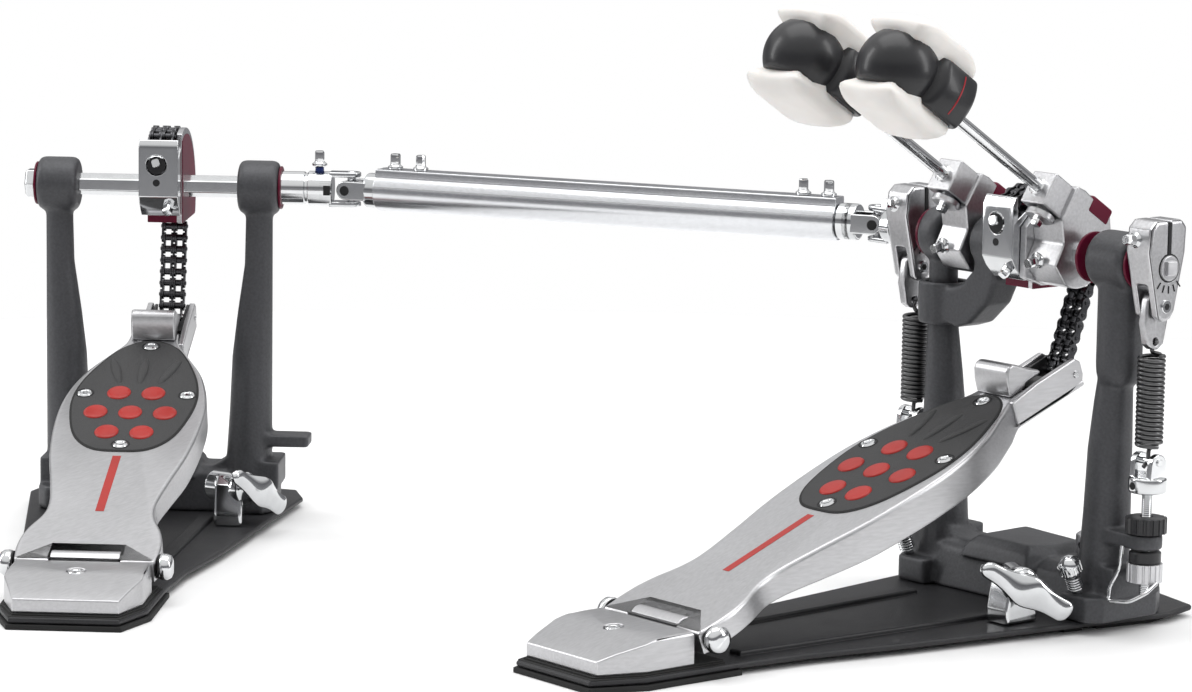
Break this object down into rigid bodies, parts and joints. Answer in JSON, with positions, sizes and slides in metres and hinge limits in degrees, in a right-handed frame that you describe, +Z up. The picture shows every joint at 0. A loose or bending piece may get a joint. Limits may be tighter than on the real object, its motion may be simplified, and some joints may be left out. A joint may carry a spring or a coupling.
{
  "type": "double bass drum pedal",
  "caption": "Chain-driven double kick drum pedal: two treadles on floor plates, cast post frames, sprung swinging beaters and a telescopic drive shaft with universal joints.",
  "frame": {"origin": "on the floor, under the middle of the main pedal's footboard hinge, on the underside of its rubber mat", "axes": "+Z up, +Y from the player's heel towards the drum, +X to the player's right"},
  "size_m": [0.6333, 0.5058, 0.3027],
  "materials": {
    "cast_grey": "satin powder coat on castings",
    "silver": "satin brushed",
    "chrome": "polished",
    "tube_aluminium": "bright anodised",
    "black_plate": "fine textured black",
    "black_plastic": "satin",
    "rubber": "matte",
    "pad_grey": "matte",
    "wine": "satin",
    "white_pad": "soft satin",
    "chain_black": "blackened, oiled",
    "spring_dark": "dark plated"
  },
  "bodies": {
    "root": {"main_base_plate": "black_plate", "main_rubber_mat": "rubber", "main_heel_plate": "silver", "main_hinge_pin": "chrome", "main_frame": "cast_grey", "main_clamp_block": "chrome", "outrigger_arm": "cast_grey", "main_tension_rod": "chrome", "slave_tension_rod": "chrome"},
    "main_axle": {"main_shaft": "chrome", "main_cam_block": "chrome", "main_cam_insert": "wine", "main_chain_wrap": "chain_black", "main_beater_hub": "silver", "main_spring_rocker": "silver"},
    "main_beater": {"main_beater_rod": "chrome", "main_beater_core": "black_plastic", "main_beater_pad": "white_pad"},
    "main_chain": {"main_chain_run": "chain_black"},
    "main_treadle": {"main_footboard": "silver", "main_traction_plate": "pad_grey", "main_toe_stop": "silver", "main_chain_bracket": "black_plastic"},
    "main_spring_lower": {"main_spring": "spring_dark"},
    "main_spring_upper": {"main_spring_link": "silver"},
    "slave_axle": {"slave_shaft": "chrome", "slave_beater_hub": "silver", "slave_spring_rocker": "silver", "right_joint_cross": "chrome"},
    "slave_beater": {"slave_beater_rod": "chrome", "slave_beater_core": "black_plastic", "slave_beater_pad": "white_pad"},
    "slave_spring_lower": {"slave_spring": "spring_dark"},
    "slave_spring_upper": {"slave_spring_link": "silver"},
    "left_pedal": {"left_base_plate": "black_plate", "left_rubber_mat": "rubber", "left_heel_plate": "silver", "left_hinge_pin": "chrome", "left_frame": "cast_grey", "left_clamp_block": "chrome"},
    "left_axle": {"left_shaft": "chrome", "left_cam_block": "chrome", "left_cam_insert": "wine", "left_chain_wrap": "chain_black", "left_yoke": "chrome", "left_joint_cross": "chrome"},
    "left_chain": {"left_chain_run": "chain_black"},
    "left_treadle": {"left_footboard": "silver", "left_traction_plate": "pad_grey", "left_toe_stop": "silver", "left_chain_bracket": "black_plastic"},
    "drive_tube": {"drive_tube": "tube_aluminium"},
    "drive_inner_rod": {"drive_inner_rod": "chrome"},
    "main_wing_screw": {"main_wing_screw": "chrome"},
    "left_wing_screw": {"left_wing_screw": "chrome"},
    "main_left_spur": {"main_left_spur": "chrome"},
    "main_right_spur": {"main_right_spur": "chrome"},
    "hoop_height_knob": {"hoop_height_knob": "silver"},
    "main_tension_nut": {"main_tension_nut": "black_plastic"},
    "main_lock_nut": {"main_lock_nut": "silver"}
  },
  "joints": [
    {"name": "left_pedal_placing", "type": "slide", "parent": "root", "child": "left_pedal", "axis": [-0.884, -0.4674, 0], "range_m": [0, 0.06]},
    {"name": "main_beater_swing", "type": "hinge", "parent": "root", "child": "main_axle", "pos_m": [0, 0.228, 0.182], "axis": [-1, 0, 0], "range_deg": [0, 50], "stiffness_Nm_per_rad": 0.5},
    {"name": "main_beater_height", "type": "slide", "parent": "main_axle", "child": "main_beater", "axis": [0, -0.8387, 0.5446], "range_m": [-0.03, 0.01]},
    {"name": "main_chain_swing", "type": "hinge", "parent": "main_axle", "child": "main_chain", "pos_m": [0.004, 0.26783, 0.16268], "axis": [1, 0, 0], "range_deg": [0, 94.8]},
    {"name": "main_treadle_swing", "type": "hinge", "parent": "root", "child": "main_treadle", "pos_m": [0, 0, 0.019], "axis": [-1, 0, 0], "range_deg": [0, 4.96]},
    {"name": "main_spring_swing", "type": "hinge", "parent": "root", "child": "main_spring_lower", "pos_m": [0.092, 0.2265, 0.0875], "axis": [1, 0, 0], "range_deg": [0, 9.19]},
    {"name": "main_spring_stretch", "type": "slide", "parent": "main_spring_lower", "child": "main_spring_upper", "axis": [0, 0, 1], "range_m": [0, 0.00881], "deforming": ["main_spring"]},
    {"name": "left_cam_swing", "type": "hinge", "parent": "left_pedal", "child": "left_axle", "pos_m": [-0.4418, 0.00905, 0.182], "axis": [-0.6717, -0.7408, 0], "range_deg": [0, 50], "stiffness_Nm_per_rad": 0.5},
    {"name": "left_chain_swing", "type": "hinge", "parent": "left_axle", "child": "left_chain", "pos_m": [-0.47229, 0.03669, 0.16722], "axis": [0.6717, 0.7408, 0], "range_deg": [0, 80.65]},
    {"name": "left_treadle_swing", "type": "hinge", "parent": "left_pedal", "child": "left_treadle", "pos_m": [-0.2729, -0.1441, 0.019], "axis": [-0.6717, -0.7408, 0], "range_deg": [0, 5.43]},
    {"name": "drive_tube_turn", "type": "hinge", "parent": "left_pedal", "child": "drive_tube", "pos_m": [-0.3706, 0.08758, 0.182], "axis": [-0.884, -0.4674, 0], "range_deg": [0, 50]},
    {"name": "inner_rod_turn", "type": "hinge", "parent": "root", "child": "drive_inner_rod", "pos_m": [-0.105, 0.228, 0.182], "axis": [-0.884, -0.4674, 0], "range_deg": [0, 50]},
    {"name": "slave_beater_swing", "type": "hinge", "parent": "root", "child": "slave_axle", "pos_m": [0, 0.228, 0.182], "axis": [-1, 0, 0], "range_deg": [0, 50]},
    {"name": "slave_beater_height", "type": "slide", "parent": "slave_axle", "child": "slave_beater", "axis": [0, -0.8387, 0.5446], "range_m": [-0.03, 0.01]},
    {"name": "slave_spring_swing", "type": "hinge", "parent": "root", "child": "slave_spring_lower", "pos_m": [-0.0733, 0.2265, 0.0875], "axis": [1, 0, 0], "range_deg": [0, 9.19]},
    {"name": "slave_spring_stretch", "type": "slide", "parent": "slave_spring_lower", "child": "slave_spring_upper", "axis": [0, 0, 1], "range_m": [0, 0.00881], "deforming": ["slave_spring"]},
    {"name": "main_wing_turn", "type": "hinge", "parent": "root", "child": "main_wing_screw", "pos_m": [0.05, 0.183, 0.025], "axis": [0.866, -0.5, 0], "range_deg": [-20, 20]},
    {"name": "left_wing_turn", "type": "hinge", "parent": "left_pedal", "child": "left_wing_screw", "pos_m": [-0.37488, 0.01587, 0.025], "axis": [0.9521, 0.3057, 0], "range_deg": [-20, 20]},
    {"name": "main_left_spur_screw", "type": "slide", "parent": "root", "child": "main_left_spur", "axis": [0, -0.4067, 0.9135], "range_m": [-0.008, 0.004]},
    {"name": "main_right_spur_screw", "type": "slide", "parent": "root", "child": "main_right_spur", "axis": [0, -0.4067, 0.9135], "range_m": [-0.008, 0.004]},
    {"name": "hoop_knob_turn", "type": "hinge", "parent": "root", "child": "hoop_height_knob", "pos_m": [0.04, 0.245, 0.036], "axis": [0, 0, 1], "continuous": true},
    {"name": "main_tension_nut_turn", "type": "hinge", "parent": "root", "child": "main_tension_nut", "pos_m": [0.092, 0.2265, 0.056], "axis": [0, 0, 1], "continuous": true},
    {"name": "main_lock_nut_turn", "type": "hinge", "parent": "root", "child": "main_lock_nut", "pos_m": [0.092, 0.2265, 0.036], "axis": [0, 0, 1], "continuous": true}
  ],
  "couplings": [
    {"joint": "main_chain_swing", "follows": "main_beater_swing", "ratio": 1.896},
    {"joint": "main_treadle_swing", "follows": "main_beater_swing", "ratio": 0.0992},
    {"joint": "main_spring_swing", "follows": "main_beater_swing", "ratio": 0.1838},
    {"joint": "main_spring_stretch", "follows": "main_beater_swing", "m_per_rad": 0.0101},
    {"joint": "left_chain_swing", "follows": "left_cam_swing", "ratio": 1.613},
    {"joint": "left_treadle_swing", "follows": "left_cam_swing", "ratio": 0.1086},
    {"joint": "drive_tube_turn", "follows": "left_cam_swing", "ratio": 1},
    {"joint": "inner_rod_turn", "follows": "left_cam_swing", "ratio": 1},
    {"joint": "slave_beater_swing", "follows": "left_cam_swing", "ratio": 1},
    {"joint": "slave_spring_swing", "follows": "left_cam_swing", "ratio": 0.1838},
    {"joint": "slave_spring_stretch", "follows": "left_cam_swing", "m_per_rad": 0.0101}
  ]
}
